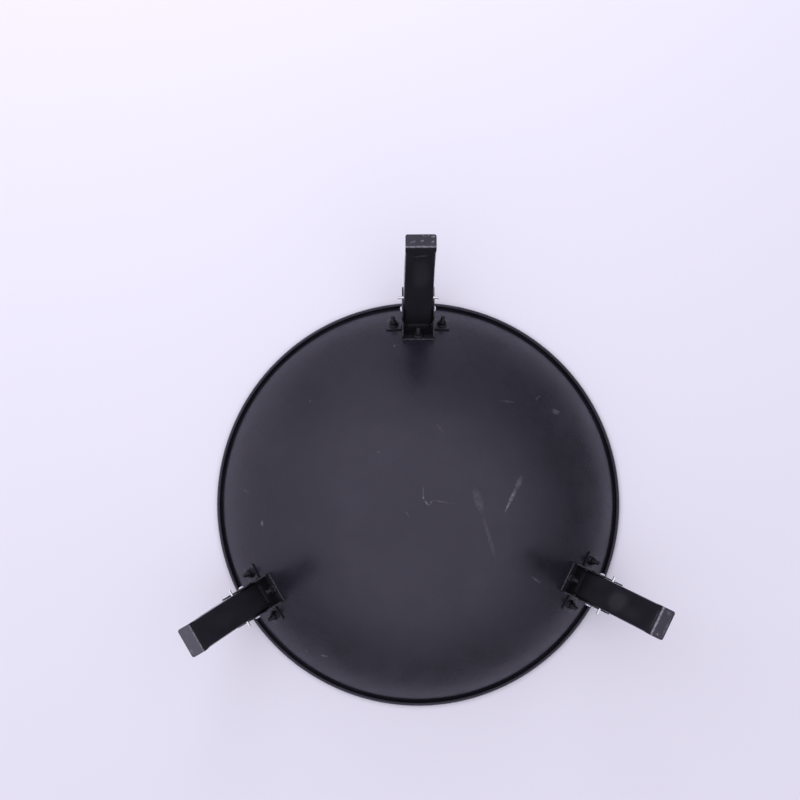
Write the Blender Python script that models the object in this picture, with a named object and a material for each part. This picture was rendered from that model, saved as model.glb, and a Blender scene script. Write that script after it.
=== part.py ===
"""A portable steel fire bowl that stands on three folding legs.

The bowl is one pressed sheet with a rolled rim. Each leg is a pressed channel that turns on a
rivet between the two ears of a bracket, and the bracket is bolted through the bowl with three
screws and flange nuts. A cross pin in the leg seats in the ears when the leg is open, and the leg
folds inwards under the bowl from there. The origin is the middle of the floor that it covers.
"""

import math

import bmesh
import bpy
import numpy as np
from mathutils import Matrix, Vector

# Bowl, in metres
HEIGHT = 0.215
RIM_RADIUS = 0.280
SHEET = 0.0018
RIM_SLOPE = math.radians(48.0)
CURL_RADIUS = 0.0036
CURL_TURN = math.radians(222.0)
BOWL_SEGMENTS = 84
WALL_STEPS = 14
CURL_STEPS = 9

# Where the legs stand around the bowl
LEG_AZIMUTHS = (89.6, 330.0, 206.0)

# Gaps between pieces that rest on each other, and under a flat head on the bowl's faceted inside
GAP = 0.0003
HEAD_GAP = 0.0006

# Hinge, seen in the plane through the bowl's axis
PIVOT_RADIUS = 0.266
PIVOT_STANDOFF = 0.026
PIN_REACH = 0.024
PIN_LEAN = math.radians(93.4)

# Bracket, one pressed sheet: lengths along the wall count from under the pivot, up towards the rim
PLATE = 0.0018
TONGUE_START = -0.0317
TAB_START = -0.0118
TAB_END = 0.0076
TAB_REACH = 0.0440
TAB_CORNER = 0.0035
RELIEF = 0.0006
EAR_INSIDE = 0.0203
BRACKET_BEND = 0.0026
BEND_STEPS = 3
SIDE_BOLT_ALONG = -0.0021
SIDE_BOLT_ACROSS = 0.0333
TONGUE_BOLT_ALONG = -0.0237
TONGUE_FLAT = 0.0090
TONGUE_END = 0.0
TONGUE_HALF_WIDTH = 0.0180

# One ear about the pivot: (along the wall, out from it), from its outboard foot round to its tip
EAR_OUTBOARD = ((0.0120, -0.0060), (0.0132, 0.0120), (0.0120, 0.0270))
CROWN_CENTRE = (0.0080, 0.0295)
CROWN_RADIUS = 0.0040
CROWN_END = (0.0040, 0.0335)
SEAT_LIP = (-0.0050, 0.0196)
CHEEK_RADIUS = 0.0170
EAR_INBOARD = (-0.0262, -0.0165)
EAR_TIP = -0.0190

# Leg
LEG_SHEET = 0.0018
LEG_HALF_WIDTH = 0.0200
LEG_BEND = 0.0030
LEG_START_SLOPE = math.radians(57.0)
WEB_OFFSET = 0.0090
HEEL_LENGTH = 0.0199
HEEL_SHARES = (-0.075, -0.03, 0.0)
HEEL_ROUND = 0.0080
HEEL_DEPTH = 0.62
FLANGE_DEPTH = 0.0200
FLANGE_LEAST = 0.0003
TAPER_START = 0.24
TAPER_END = 0.86
TAPER_POWER = 1.5
BLADE_SHARES = (0.12, 0.24, 0.36, 0.48, 0.60, 0.72, 0.80, 0.86, 0.91, 0.955, 1.0)
OPENING_START = 0.86
OPENING_END = 0.955
FOOT_BEND_RADIUS = 0.0040
FOOT_BEND_STEPS = 5
FOOT_START = 0.3300
FOOT_END = 0.3470
FOOT_CORNER = 0.0030
FOOT_CORNER_STEPS = 3

# Fasteners
SCREW_RADIUS = 0.0029
SCREW_HEAD_RADIUS = 0.0062
SCREW_HEAD_HEIGHT = 0.0032
SCREW_HEAD_SIDE = 0.0012
SCREW_END = 0.0088
SCREW_CHAMFER = 0.0007
HOLE_RADIUS = 0.0032
NUT_FLANGE_RADIUS = 0.0068
NUT_FLANGE = 0.0012
NUT_HEIGHT = 0.0060
NUT_FLATS = 0.0050
NUT_FILLET = 0.0006
RIVET_RADIUS = 0.0030
RIVET_HOLE = 0.0033
RIVET_HEAD_RADIUS = 0.0050
RIVET_HEAD = 0.0022
PIN_RADIUS = 0.0020
PIN_HOLE = 0.0023
PIN_LENGTH = 0.0560
PIN_CHAMFER = 0.0005

# Worked out from the sizes above. Heights are above the floor, radii from the bowl's axis.
CURL_CENTRE = RIM_RADIUS - CURL_RADIUS
CURL_MID = CURL_RADIUS - SHEET / 2
CURL_JOIN = math.pi / 2 + RIM_SLOPE
BOWL_MID = (CURL_CENTRE + CURL_MID * math.cos(CURL_JOIN)) / math.sin(RIM_SLOPE)
BOWL_OUT = BOWL_MID + SHEET / 2
BOWL_CENTRE_Z = HEIGHT - CURL_RADIUS + CURL_MID * math.sin(CURL_JOIN) + BOWL_MID * math.cos(RIM_SLOPE)
HINGE_ANGLE = math.asin(PIVOT_RADIUS / (BOWL_OUT + PIVOT_STANDOFF))
PIVOT_Z = BOWL_CENTRE_Z - (BOWL_OUT + PIVOT_STANDOFF) * math.cos(HINGE_ANGLE)
SCREW_REACH = GAP + PLATE + GAP + NUT_HEIGHT + SCREW_END


def clear_scene():
    for thing in list(bpy.data.objects):
        bpy.data.objects.remove(thing)


def material(name, colour, roughness, metallic):
    made = bpy.data.materials.new(name)
    made.use_nodes = True
    shader = made.node_tree.nodes["Principled BSDF"]
    shader.inputs["Base Color"].default_value = (*colour, 1.0)
    shader.inputs["Roughness"].default_value = roughness
    shader.inputs["Metallic"].default_value = metallic
    made.diffuse_color = (*colour, 1.0)
    return made


def add_object(name, mesh, surface, parent=None):
    """An object of the mesh, smooth but for its sharp edges, under its parent."""
    made = bpy.data.objects.new(name, mesh)
    bpy.context.scene.collection.objects.link(made)
    mesh.materials.clear()
    mesh.materials.append(surface)
    mesh.shade_smooth()
    mesh.set_sharp_from_angle(angle=math.radians(35))
    made.parent = parent
    return made


def add_empty(name, location, turn, parent=None):
    made = bpy.data.objects.new(name, None)
    bpy.context.scene.collection.objects.link(made)
    made.empty_display_size = 0.02
    made.location = location
    made.rotation_euler = (0.0, 0.0, turn)
    made.parent = parent
    return made


def mesh_of_rings(name, rings, closed):
    """A tube of quads through rings of the same length, closed on itself or with capped ends."""
    shape = bmesh.new()
    loops = [[shape.verts.new(point) for point in ring] for ring in rings]
    pairs = list(zip(loops, loops[1:]))
    if closed:
        pairs.append((loops[-1], loops[0]))
    for low, high in pairs:
        for i in range(len(low)):
            j = (i + 1) % len(low)
            shape.faces.new((low[i], low[j], high[j], high[i]))
    if not closed:
        shape.faces.new(list(reversed(loops[0])))
        shape.faces.new(loops[-1])
    bmesh.ops.recalc_face_normals(shape, faces=shape.faces)
    mesh = bpy.data.meshes.new(name)
    shape.to_mesh(mesh)
    shape.free()
    return mesh


def turned(name, profile, steps, closed=False):
    """A solid turned about Z. Profile points are (radius, height), or functions of the angle."""
    rings = []
    for point in profile:
        ring = []
        for i in range(steps):
            angle = 2 * math.pi * i / steps
            radius, z = point(angle) if callable(point) else point
            ring.append((radius * math.cos(angle), radius * math.sin(angle), z))
        rings.append(ring)
    return mesh_of_rings(name, rings, closed)


def rod(name, radius, start, end, steps=16):
    return turned(name, [(radius, start), (radius, end)], steps)


def combined(mesh, tools, operation):
    """The mesh with each tool mesh united with it or cut from it."""
    base = bpy.data.objects.new("base", mesh)
    bpy.context.scene.collection.objects.link(base)
    helpers = []
    for tool in tools:
        helper = bpy.data.objects.new("tool", tool)
        bpy.context.scene.collection.objects.link(helper)
        helper.hide_render = True
        helper.display_type = "WIRE"
        helpers.append(helper)
        change = base.modifiers.new("change", "BOOLEAN")
        change.operation = operation
        change.solver = "EXACT"
        change.object = helper
    graph = bpy.context.evaluated_depsgraph_get()
    result = bpy.data.meshes.new_from_object(base.evaluated_get(graph), depsgraph=graph)
    result.name = mesh.name
    for thing in (base, *helpers):
        bpy.data.objects.remove(thing)
    return result


def moved(mesh, matrix):
    mesh.transform(matrix)
    return mesh


def bowl_point(along, across, above):
    """A place on the bowl's outer wall at the hinge, by arc lengths from the wall under the pivot."""
    lean = HINGE_ANGLE + along / BOWL_OUT
    side = across / BOWL_OUT
    radius = BOWL_OUT + above
    level = radius * math.cos(side)
    return Vector((level * math.sin(lean), radius * math.sin(side), BOWL_CENTRE_Z - level * math.cos(lean)))


def wall_frame(along, across):
    """The matrix that stands a fastener on the wall there, its +Z pointing away from the bowl."""
    foot = bowl_point(along, across, 0.0)
    out = (bowl_point(along, across, 0.01) - foot).normalized()
    up = (bowl_point(along + 0.001, across, 0.0) - foot).normalized()
    side = out.cross(up).normalized()
    turn = Matrix((out.cross(side) * -1, side, out)).transposed()
    return Matrix.Translation(foot) @ turn.to_4x4()


def hinge_point(along, out):
    """A place in the hinge's own plane: along the wall's tangent, and out from the pivot."""
    tangent = Vector((math.cos(HINGE_ANGLE), 0.0, math.sin(HINGE_ANGLE)))
    normal = Vector((math.sin(HINGE_ANGLE), 0.0, -math.cos(HINGE_ANGLE)))
    return Vector((PIVOT_RADIUS, 0.0, PIVOT_Z)) + tangent * along + normal * out


def pin_place():
    return hinge_point(PIN_REACH * math.cos(PIN_LEAN), PIN_REACH * math.sin(PIN_LEAN))


def bolt_places():
    """Where each bracket screw stands on the wall, by name."""
    return {
        "left": (SIDE_BOLT_ALONG, SIDE_BOLT_ACROSS),
        "right": (SIDE_BOLT_ALONG, -SIDE_BOLT_ACROSS),
        "tongue": (TONGUE_BOLT_ALONG, 0.0),
    }


def bowl_profile():
    """The pressed sheet's outline, out along its underside and back along its inside."""
    under, inside = [], []
    for i in range(WALL_STEPS + 1):
        lean = RIM_SLOPE * (i + 0.35) / (WALL_STEPS + 0.35)
        for points, radius in ((under, BOWL_OUT), (inside, BOWL_OUT - SHEET)):
            points.append((radius * math.sin(lean), BOWL_CENTRE_Z - radius * math.cos(lean)))
    for i in range(1, CURL_STEPS + 1):
        angle = CURL_JOIN - CURL_TURN * i / CURL_STEPS
        for points, radius in ((under, CURL_RADIUS - SHEET), (inside, CURL_RADIUS)):
            x = CURL_CENTRE + radius * math.cos(angle)
            points.append((x, HEIGHT - CURL_RADIUS + radius * math.sin(angle)))
    return under, inside


def bowl_mesh():
    under, inside = bowl_profile()
    mesh = turned("bowl", under + list(reversed(inside)), BOWL_SEGMENTS)
    drills = []
    for azimuth in LEG_AZIMUTHS:
        for along, across in bolt_places().values():
            turn = Matrix.Rotation(math.radians(azimuth), 4, "Z")
            drill = rod("drill", HOLE_RADIUS, -0.006, 0.004, 12)
            drills.append(moved(drill, turn @ wall_frame(along, across)))
    return combined(mesh, drills, "DIFFERENCE")


def arc(centre, radius, start, end, steps):
    """Points on an arc, angles in degrees."""
    points = []
    for i in range(steps + 1):
        angle = math.radians(start + (end - start) * i / steps)
        points.append((centre[0] + radius * math.cos(angle), centre[1] + radius * math.sin(angle)))
    return points


def draped(along, across, above):
    """A place over the bowl's wall at the hinge, with its distance across measured straight."""
    level = math.sqrt(BOWL_OUT**2 - across**2)
    reach = level + above * BOWL_OUT / level
    lean = HINGE_ANGLE + along / BOWL_OUT
    return Vector((reach * math.sin(lean), across, BOWL_CENTRE_Z - reach * math.cos(lean)))


def ear_outline():
    """One ear above its bend, from its outboard foot round to its inboard end, about the pivot."""
    pin = (PIN_REACH * math.cos(PIN_LEAN), PIN_REACH * math.sin(PIN_LEAN))
    crown = arc(CROWN_CENTRE, CROWN_RADIUS, 10, 90, 3) + [CROWN_END]
    seat = arc(pin, PIN_HOLE, 40, -90, 6) + [SEAT_LIP]
    cheek = arc((0.0, 0.0), CHEEK_RADIUS, 125, 200, 5)
    return list(EAR_OUTBOARD) + crown + seat + cheek + [EAR_INBOARD, (TONGUE_START, EAR_TIP)]


def bend_section(turn):
    """The sheet's middle across a bend between an ear and the wall, as (across, above) points.

    It starts on the ear. A turn of -1 leads in to the tongue, and +1 leads out to a tab.
    """
    middle = EAR_INSIDE + PLATE / 2
    points = []
    for i in range(BEND_STEPS + 1):
        angle = math.pi / 2 * i / BEND_STEPS
        across = middle + turn * BRACKET_BEND * (1 - math.cos(angle))
        points.append((across, GAP + PLATE / 2 + BRACKET_BEND * (1 - math.sin(angle))))
    return points


def bracket_sheet():
    """The middle surface of the bracket: two ears that bend in to a tongue and out to two tabs."""
    tongue_end = TAB_START - RELIEF
    tongue_rows = [TONGUE_START + (tongue_end - TONGUE_START) * i / 3 for i in range(4)]
    tab_rows = [TAB_START + (TAB_END - TAB_START) * i / 3 for i in range(4)]
    flat = GAP + PLATE / 2
    tongue_line = bend_section(-1) + [(TONGUE_FLAT, flat), (0.0, flat)]
    tab_line = bend_section(1) + [((EAR_INSIDE + TAB_REACH) / 2, flat), (TAB_REACH, flat)]
    shape = bmesh.new()
    lip_rows = [tongue_end + (TONGUE_END - tongue_end) * i / 3 for i in range(1, 4)]
    spine = {row: shape.verts.new(draped(row, 0.0, flat)) for row in tongue_rows + lip_rows}
    tab_corners = []
    for side in (1, -1):
        grids = []
        for rows, line in ((tongue_rows, tongue_line), (tab_rows, tab_line)):
            grid = []
            for row in rows:
                made = [shape.verts.new(draped(row, side * across, above)) for across, above in line[:-1]]
                if line is tongue_line:
                    made.append(spine[row])
                else:
                    made.append(shape.verts.new(draped(row, side * TAB_REACH, flat)))
                grid.append(made)
            for low, high in zip(grid, grid[1:]):
                for i in range(len(line) - 1):
                    shape.faces.new((low[i], low[i + 1], high[i + 1], high[i]))
            grids.append(grid)
        inner = grids[0][-1][-3:]
        for row in lip_rows:
            edge = [draped(row, side * across, flat) for across in (TONGUE_HALF_WIDTH, TONGUE_FLAT)]
            outer = [shape.verts.new(place) for place in edge] + [spine[row]]
            for i in range(2):
                shape.faces.new((inner[i], inner[i + 1], outer[i + 1], outer[i]))
            inner = outer
        tab_corners += [grids[1][0][-1], grids[1][-1][-1]]
        across = Vector((0.0, side * (EAR_INSIDE + PLATE / 2), 0.0))
        rim = [shape.verts.new(hinge_point(along, out) + across) for along, out in ear_outline()]
        shape.faces.new([row[0] for grid in grids for row in grid] + rim)
    bmesh.ops.bevel(shape, geom=tab_corners, offset=TAB_CORNER, segments=3, profile=0.5, affect="VERTICES")
    bmesh.ops.recalc_face_normals(shape, faces=shape.faces)
    mesh = bpy.data.meshes.new("bracket")
    shape.to_mesh(mesh)
    shape.free()
    return mesh


def thickened(mesh, thickness):
    """A closed sheet of that thickness about the mesh."""
    base = bpy.data.objects.new("base", mesh)
    bpy.context.scene.collection.objects.link(base)
    skin = base.modifiers.new("skin", "SOLIDIFY")
    skin.thickness = thickness
    skin.offset = 0.0
    skin.use_even_offset = True
    graph = bpy.context.evaluated_depsgraph_get()
    result = bpy.data.meshes.new_from_object(base.evaluated_get(graph), depsgraph=graph)
    result.name = mesh.name
    bpy.data.objects.remove(base)
    return result


def cross_rod(name, radius, place, half_length, steps=16):
    """A rod across the hinge, through a place in its plane."""
    turn = Matrix.Rotation(math.radians(90), 4, "X")
    return moved(rod(name, radius, -half_length, half_length, steps), Matrix.Translation(place) @ turn)


def bracket_mesh():
    drills = [cross_rod("drill", RIVET_HOLE, hinge_point(0.0, 0.0), 0.03)]
    for along, across in bolt_places().values():
        drills.append(moved(rod("drill", HOLE_RADIUS, -0.002, 0.006), wall_frame(along, across)))
    return combined(thickened(bracket_sheet(), PLATE), drills, "DIFFERENCE")


def leg_path():
    """Stations down the leg's lower face: (radius, height, slope, flange depth, opening, width)."""
    start_r = PIVOT_RADIUS - WEB_OFFSET * math.sin(LEG_START_SLOPE)
    start_z = PIVOT_Z - WEB_OFFSET * math.cos(LEG_START_SLOPE)
    chord = math.atan2(start_z, FOOT_START - start_r)
    end_slope = 2 * chord - LEG_START_SLOPE
    turn = end_slope - LEG_START_SLOPE
    bend_drop = FOOT_BEND_RADIUS * (1 - math.cos(end_slope))
    span = (start_z - bend_drop) / (math.sin(chord) * math.sin(turn / 2) / (turn / 2))
    stations = []
    for share in (-HEEL_LENGTH / span, *HEEL_SHARES):
        step = share * span
        depth = min(1.0, HEEL_DEPTH + (1.0 - HEEL_DEPTH) * (step + HEEL_LENGTH) / HEEL_ROUND)
        r = start_r + step * math.cos(LEG_START_SLOPE)
        z = start_z - step * math.sin(LEG_START_SLOPE)
        stations.append((r, z, LEG_START_SLOPE, depth * FLANGE_DEPTH, 1.0, 1.0))
    r, z, before = start_r, start_z, 0.0
    for share in BLADE_SHARES:
        middle = LEG_START_SLOPE + turn * (before + share) / 2
        r += (share - before) * span * math.cos(middle)
        z -= (share - before) * span * math.sin(middle)
        taper = max(0.0, (share - TAPER_START) / (TAPER_END - TAPER_START))
        depth = max(FLANGE_LEAST, FLANGE_DEPTH * (1.0 - taper**TAPER_POWER))
        opening = min(1.0, max(0.0, (OPENING_END - share) / (OPENING_END - OPENING_START)))
        stations.append((r, z, LEG_START_SLOPE + turn * share, depth, opening, 1.0))
        before = share
    r_bend = r + FOOT_BEND_RADIUS * math.sin(end_slope)
    for i in range(1, FOOT_BEND_STEPS + 1):
        slope = end_slope * (1 - i / FOOT_BEND_STEPS)
        r = r_bend - FOOT_BEND_RADIUS * math.sin(slope)
        z = FOOT_BEND_RADIUS * (1 - math.cos(slope))
        stations.append((r, z, slope, FLANGE_LEAST, 0.0, 1.0))
    for i in range(FOOT_CORNER_STEPS + 1):
        angle = math.pi / 2 * i / FOOT_CORNER_STEPS
        r = FOOT_END - FOOT_CORNER * (1 - math.sin(angle))
        width = 1.0 - FOOT_CORNER * (1 - math.cos(angle)) / LEG_HALF_WIDTH
        stations.append((r, 0.0, 0.0, FLANGE_LEAST, 0.0, width))
    return stations


def leg_section(depth, opening):
    """Half of the channel's section as (across, in) points of its outer and inner faces."""
    flat = LEG_HALF_WIDTH - LEG_BEND
    arc_length = (LEG_BEND - LEG_SHEET / 2) * math.pi / 2
    bend = max(opening, 0.001) * math.pi / 2
    radius = arc_length / bend
    middle = [(0.0, 0.0, 0.0)]
    for i in range(4):
        angle = bend * i / 3
        middle.append((flat + radius * math.sin(angle), radius * (1 - math.cos(angle)), angle))
    x, y, angle = middle[-1]
    middle.append((x + depth * math.cos(angle), y + depth * math.sin(angle), angle))
    outer, inner = [], []
    for x, y, angle in middle:
        aside = LEG_SHEET / 2 * math.sin(angle)
        inward = LEG_SHEET / 2 * math.cos(angle)
        outer.append((x + aside, y + LEG_SHEET / 2 - inward))
        inner.append((x - aside, y + LEG_SHEET / 2 + inward))
    return outer, inner


def leg_mesh():
    """The pressed channel, its flanges running out above the foot, which is turned outwards."""
    rings = []
    for r, z, slope, depth, opening, width in leg_path():
        outer, inner = leg_section(depth, opening)
        loop = [(-x, y) for x, y in reversed(outer[1:])] + outer
        loop += list(reversed(inner)) + [(-x, y) for x, y in inner[1:]]
        scale = width * LEG_HALF_WIDTH / outer[-1][0]
        inward = Vector((math.sin(slope), 0.0, math.cos(slope)))
        at = Vector((r, 0.0, z))
        rings.append([at + inward * y + Vector((0.0, x * scale, 0.0)) for x, y in loop])
    mesh = mesh_of_rings("leg", rings, False)
    drills = [cross_rod("drill", RIVET_HOLE, hinge_point(0.0, 0.0), 0.03)]
    drills.append(cross_rod("drill", PIN_HOLE, pin_place(), 0.03))
    return combined(mesh, drills, "DIFFERENCE")


def screw_mesh():
    """A pan-head screw that stands on the wall: its head is inside the bowl, its end outside."""
    under = -SHEET - HEAD_GAP
    rim = under - SCREW_HEAD_SIDE
    dome = []
    for share in (1.0, 0.8, 0.45):
        angle = math.pi / 2 * share
        drop = (SCREW_HEAD_HEIGHT - SCREW_HEAD_SIDE) * math.cos(angle)
        dome.append((SCREW_HEAD_RADIUS * math.sin(angle), rim - drop))
    profile = [(SCREW_RADIUS - SCREW_CHAMFER, SCREW_REACH), (SCREW_RADIUS, SCREW_REACH - SCREW_CHAMFER)]
    profile += [(SCREW_RADIUS, under), (SCREW_HEAD_RADIUS, under)]
    return turned("screw", profile + dome, 16)


def hexagon(flats, z):
    def point(angle):
        return flats / math.cos((angle % (math.pi / 3)) - math.pi / 6), z

    return point


def nut_mesh():
    """A hexagon flange nut on the bracket's plate."""
    foot = GAP + PLATE + GAP
    top = foot + NUT_HEIGHT
    profile = [
        (HOLE_RADIUS, foot),
        (NUT_FLANGE_RADIUS, foot),
        (NUT_FLANGE_RADIUS, foot + NUT_FLANGE),
        hexagon(NUT_FLATS, foot + NUT_FLANGE + NUT_FILLET),
        hexagon(NUT_FLATS, top),
        (HOLE_RADIUS, top),
    ]
    return turned("nut", profile, 24, closed=True)


def rivet_mesh():
    """The pivot rivet, with a domed head outside each ear."""
    face = EAR_INSIDE + PLATE + GAP
    side = [(RIVET_RADIUS, face), (RIVET_HEAD_RADIUS, face)]
    for share in (0.75, 0.5, 0.25):
        angle = math.pi / 2 * share
        side.append((RIVET_HEAD_RADIUS * math.sin(angle), face + RIVET_HEAD * math.cos(angle)))
    profile = [(radius, -z) for radius, z in reversed(side)] + side
    turn = Matrix.Rotation(math.radians(90), 4, "X")
    return moved(turned("rivet", profile, 20), Matrix.Translation(hinge_point(0.0, 0.0)) @ turn)


def pin_mesh():
    half = PIN_LENGTH / 2
    profile = [(PIN_RADIUS - PIN_CHAMFER, -half), (PIN_RADIUS, -half + PIN_CHAMFER)]
    profile += [(radius, -z) for radius, z in reversed(profile)]
    turn = Matrix.Rotation(math.radians(90), 4, "X")
    return moved(turned("pin", profile, 14), Matrix.Translation(pin_place()) @ turn)


def floor_middle():
    """The middle of the floor that the whole object covers."""
    bpy.context.view_layer.update()
    points = []
    for thing in bpy.context.scene.objects:
        if thing.type == "MESH":
            points += [thing.matrix_world @ vertex.co for vertex in thing.data.vertices]
    flat = np.array(points)[:, :2]
    return (flat.min(axis=0) + flat.max(axis=0)) / 2


def add_station(number, azimuth, centre, paints):
    """One leg with its bracket and fasteners."""
    turn = math.radians(azimuth)
    station = add_empty(f"station_{number}", (0.0, 0.0, 0.0), turn, centre)
    pivot = add_empty(f"fold_axis_{number}", hinge_point(0.0, 0.0), 0.0, station)
    to_pivot = Matrix.Translation(-hinge_point(0.0, 0.0))
    add_object(f"bracket_{number}", bracket_mesh(), paints["paint"], station)
    for place, (along, across) in bolt_places().items():
        stand = wall_frame(along, across)
        add_object(f"bracket_screw_{number}_{place}", moved(screw_mesh(), stand), paints["black"], station)
        add_object(f"flange_nut_{number}_{place}", moved(nut_mesh(), stand), paints["black"], station)
    add_object(f"pivot_rivet_{number}", rivet_mesh(), paints["zinc"], station)
    add_object(f"leg_{number}", moved(leg_mesh(), to_pivot), paints["paint"], pivot)
    add_object(f"stop_pin_{number}", moved(pin_mesh(), to_pivot), paints["zinc"], pivot)


def main():
    clear_scene()
    paints = {
        "paint": material("black_paint", (0.030, 0.029, 0.034), 0.55, 0.0),
        "black": material("black_oxide", (0.020, 0.020, 0.023), 0.45, 0.6),
        "zinc": material("bright_zinc", (0.62, 0.63, 0.66), 0.28, 1.0),
    }
    centre = add_empty("bowl_axis", (0.0, 0.0, 0.0), 0.0)
    add_object("bowl", bowl_mesh(), paints["paint"], centre)
    for number, azimuth in enumerate(LEG_AZIMUTHS, start=1):
        add_station(number, azimuth, centre, paints)
    middle = floor_middle()
    centre.location = (-middle[0], -middle[1], 0.0)
    bpy.context.view_layer.update()


main()
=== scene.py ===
"""Looks for the folding fire bowl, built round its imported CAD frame.

The bowl, brackets, legs and fasteners are finer pieces in the places of their CAD nodes. The main
view looks at the underside, so the camera is below the feet and looks up, and the pale sheet that
the rim would lie on is a backdrop just over it. The light and the backdrop's share in reflections
are tuned for that view, and aren't neutral.
"""

import math

import bmesh
import bpy
from mathutils import Matrix, Vector


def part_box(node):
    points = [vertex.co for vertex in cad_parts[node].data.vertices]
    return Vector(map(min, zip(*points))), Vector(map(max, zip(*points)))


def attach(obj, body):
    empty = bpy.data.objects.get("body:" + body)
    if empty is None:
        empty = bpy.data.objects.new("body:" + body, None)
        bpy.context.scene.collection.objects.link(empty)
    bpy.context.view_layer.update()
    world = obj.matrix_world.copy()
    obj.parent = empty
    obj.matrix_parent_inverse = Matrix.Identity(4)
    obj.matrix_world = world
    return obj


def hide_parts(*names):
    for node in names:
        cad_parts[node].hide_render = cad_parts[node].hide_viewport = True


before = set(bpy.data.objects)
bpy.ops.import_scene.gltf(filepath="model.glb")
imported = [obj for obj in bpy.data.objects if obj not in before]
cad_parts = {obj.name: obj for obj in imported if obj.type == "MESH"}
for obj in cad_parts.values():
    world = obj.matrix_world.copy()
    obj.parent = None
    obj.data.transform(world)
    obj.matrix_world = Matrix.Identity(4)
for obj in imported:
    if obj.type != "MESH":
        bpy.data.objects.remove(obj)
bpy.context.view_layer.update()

# The main view, in metres from the bowl's axis and the rim
CAMERA_DISTANCE = 2.4
CAMERA_ASIDE = 0.0642
CAMERA_BESIDE = 0.0457
AIM_ASIDE = 0.0258
AIM_BESIDE = 0.1440
LENS = 77.4
SENSOR = 36.0

# The CAD's own sizes, in metres, and its leg positions
HEIGHT = 0.215
RIM_RADIUS = 0.280
SHEET = 0.0018
RIM_SLOPE = math.radians(48.0)
CURL_RADIUS = 0.0036
CURL_TURN = math.radians(222.0)
LEG_AZIMUTHS = (89.6, 330.0, 206.0)
GAP = 0.0003
PIVOT_RADIUS = 0.266
PIVOT_STANDOFF = 0.026
PIN_REACH = 0.024
PIN_LEAN = math.radians(93.4)
PLATE = 0.0018
TONGUE_START = -0.0317
TAB_START = -0.0118
TAB_END = 0.0076
TAB_REACH = 0.0440
TAB_CORNER = 0.0035
RELIEF = 0.0006
EAR_INSIDE = 0.0203
BRACKET_BEND = 0.0026
SIDE_BOLT_ALONG = -0.0021
SIDE_BOLT_ACROSS = 0.0333
TONGUE_BOLT_ALONG = -0.0237
TONGUE_FLAT = 0.0090
TONGUE_END = 0.0
TONGUE_HALF_WIDTH = 0.0180
EAR_OUTBOARD = ((0.0120, -0.0060), (0.0132, 0.0120), (0.0120, 0.0270))
CROWN_CENTRE = (0.0080, 0.0295)
CROWN_RADIUS = 0.0040
CROWN_END = (0.0040, 0.0335)
SEAT_LIP = (-0.0050, 0.0196)
CHEEK_RADIUS = 0.0170
EAR_INBOARD = (-0.0262, -0.0165)
EAR_TIP = -0.0190
LEG_SHEET = 0.0018
LEG_HALF_WIDTH = 0.0200
LEG_BEND = 0.0030
LEG_START_SLOPE = math.radians(57.0)
WEB_OFFSET = 0.0090
HEEL_LENGTH = 0.0199
HEEL_ROUND = 0.0080
HEEL_DEPTH = 0.62
FLANGE_DEPTH = 0.0200
FLANGE_LEAST = 0.0003
TAPER_START = 0.24
TAPER_END = 0.86
TAPER_POWER = 1.5
OPENING_START = 0.86
OPENING_END = 0.955
FOOT_BEND_RADIUS = 0.0040
FOOT_START = 0.3300
FOOT_END = 0.3470
FOOT_CORNER = 0.0030
SCREW_RADIUS = 0.0029
SCREW_HEAD_RADIUS = 0.0062
SCREW_HEAD_HEIGHT = 0.0032
SCREW_HEAD_SIDE = 0.0012
SCREW_END = 0.0088
SCREW_CHAMFER = 0.0007
HOLE_RADIUS = 0.0032
NUT_FLANGE_RADIUS = 0.0068
NUT_FLANGE = 0.0012
NUT_HEIGHT = 0.0060
NUT_FLATS = 0.0050
RIVET_RADIUS = 0.0030
RIVET_HOLE = 0.0033
RIVET_HEAD_RADIUS = 0.0050
RIVET_HEAD = 0.0022
PIN_RADIUS = 0.0020
PIN_HOLE = 0.0023
PIN_LENGTH = 0.0560
PIN_CHAMFER = 0.0005

# How fine the visible pieces are
BOWL_SEGMENTS = 240
WALL_STEPS = 48
CURL_STEPS = 30
EDGE_ROUND = 0.00032
SOFT_EDGE = 0.0002
DRILL_REACH = 0.03
DRIVE_SLOT = (0.0058, 0.0011, 0.0032)
THREAD_PITCH = 0.0010
THREAD_DEPTH = 0.00055
THREAD_SEGMENTS = 36
THREAD_STEPS = 8

# Worked out from the sizes, as in the CAD
CURL_CENTRE = RIM_RADIUS - CURL_RADIUS
CURL_MID = CURL_RADIUS - SHEET / 2
CURL_JOIN = math.pi / 2 + RIM_SLOPE
BOWL_MID = (CURL_CENTRE + CURL_MID * math.cos(CURL_JOIN)) / math.sin(RIM_SLOPE)
BOWL_OUT = BOWL_MID + SHEET / 2
BOWL_CENTRE_Z = HEIGHT - CURL_RADIUS + CURL_MID * math.sin(CURL_JOIN) + BOWL_MID * math.cos(RIM_SLOPE)
HINGE_ANGLE = math.asin(PIVOT_RADIUS / (BOWL_OUT + PIVOT_STANDOFF))
PIVOT_Z = BOWL_CENTRE_Z - (BOWL_OUT + PIVOT_STANDOFF) * math.cos(HINGE_ANGLE)
NUT_TOP = GAP + PLATE + GAP + NUT_HEIGHT
SCREW_REACH = NUT_TOP + SCREW_END


def bowl_place():
    """The bowl's axis and rim, from its CAD node: (x, y, rim height)."""
    low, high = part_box("bowl")
    return Vector(((low.x + high.x) / 2, (low.y + high.y) / 2, high.z))


AXIS = bowl_place()


def linear(red, green, blue):
    """A linear colour from sRGB values of 0 to 255."""
    made = []
    for value in (red, green, blue):
        share = value / 255
        made.append(share / 12.92 if share <= 0.04045 else ((share + 0.055) / 1.055) ** 2.4)
    return (*made, 1.0)


# ---------------------------------------------------------------- camera and stage


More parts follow.
